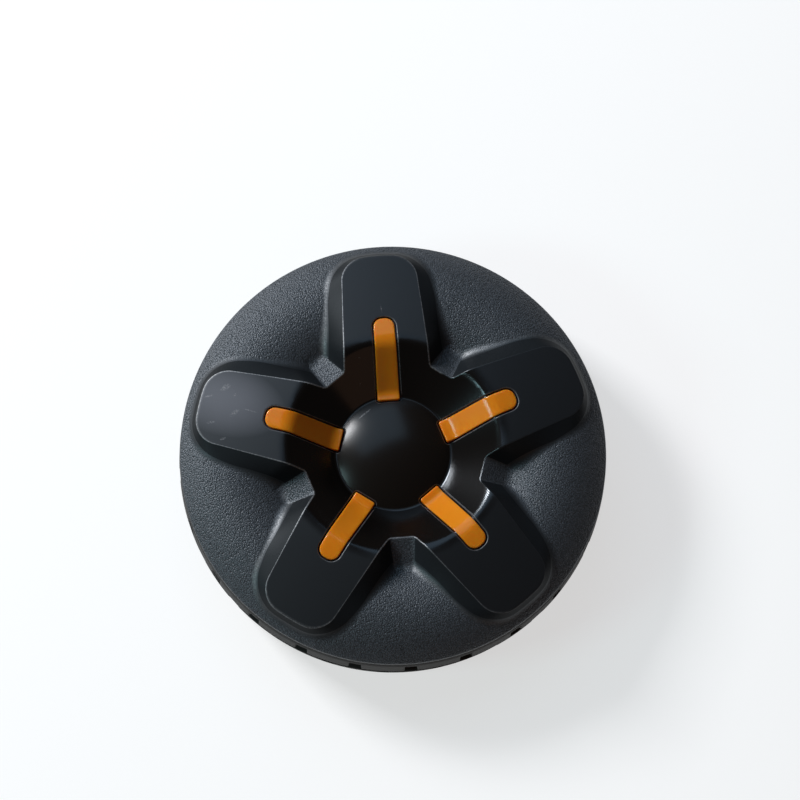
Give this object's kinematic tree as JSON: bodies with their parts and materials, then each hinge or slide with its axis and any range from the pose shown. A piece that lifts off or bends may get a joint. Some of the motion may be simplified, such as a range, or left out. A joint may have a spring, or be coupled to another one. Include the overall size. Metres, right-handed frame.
{
  "type": "robotic mower drive wheel",
  "caption": "Rubber-tyred drive wheel for a robotic mower, with a black star-relief front cover, a glossy bowl and dome, orange bars in the arms and a hexagonal drive bush.",
  "frame": {"origin": "on the wheel's axis, in the plane of the rim flange's back, on which the wheel lies", "axes": "+Z along the axis out of the front cover, +Y through the middle of arm 1, +X to its right"},
  "size_m": [0.2038, 0.2038, 0.0537],
  "materials": {
    "cover": "black moulding, grained disc and flanks, polished star top and glossy bowl",
    "core": "plain black moulding",
    "tyre": "matt black rubber",
    "bush": "turned steel",
    "zinc": "zinc plated",
    "accent": "satin orange moulding"
  },
  "bodies": {
    "root": {"wheel_cover": "cover", "wheel_core": "core", "tyre": "tyre", "drive_bush": "bush", "axle_washer": "zinc", "spring_washer": "zinc", "axle_nut": "zinc", "accent_insert_1": "accent", "accent_insert_2": "accent", "accent_insert_3": "accent", "accent_insert_4": "accent", "accent_insert_5": "accent"}
  },
  "joints": []
}
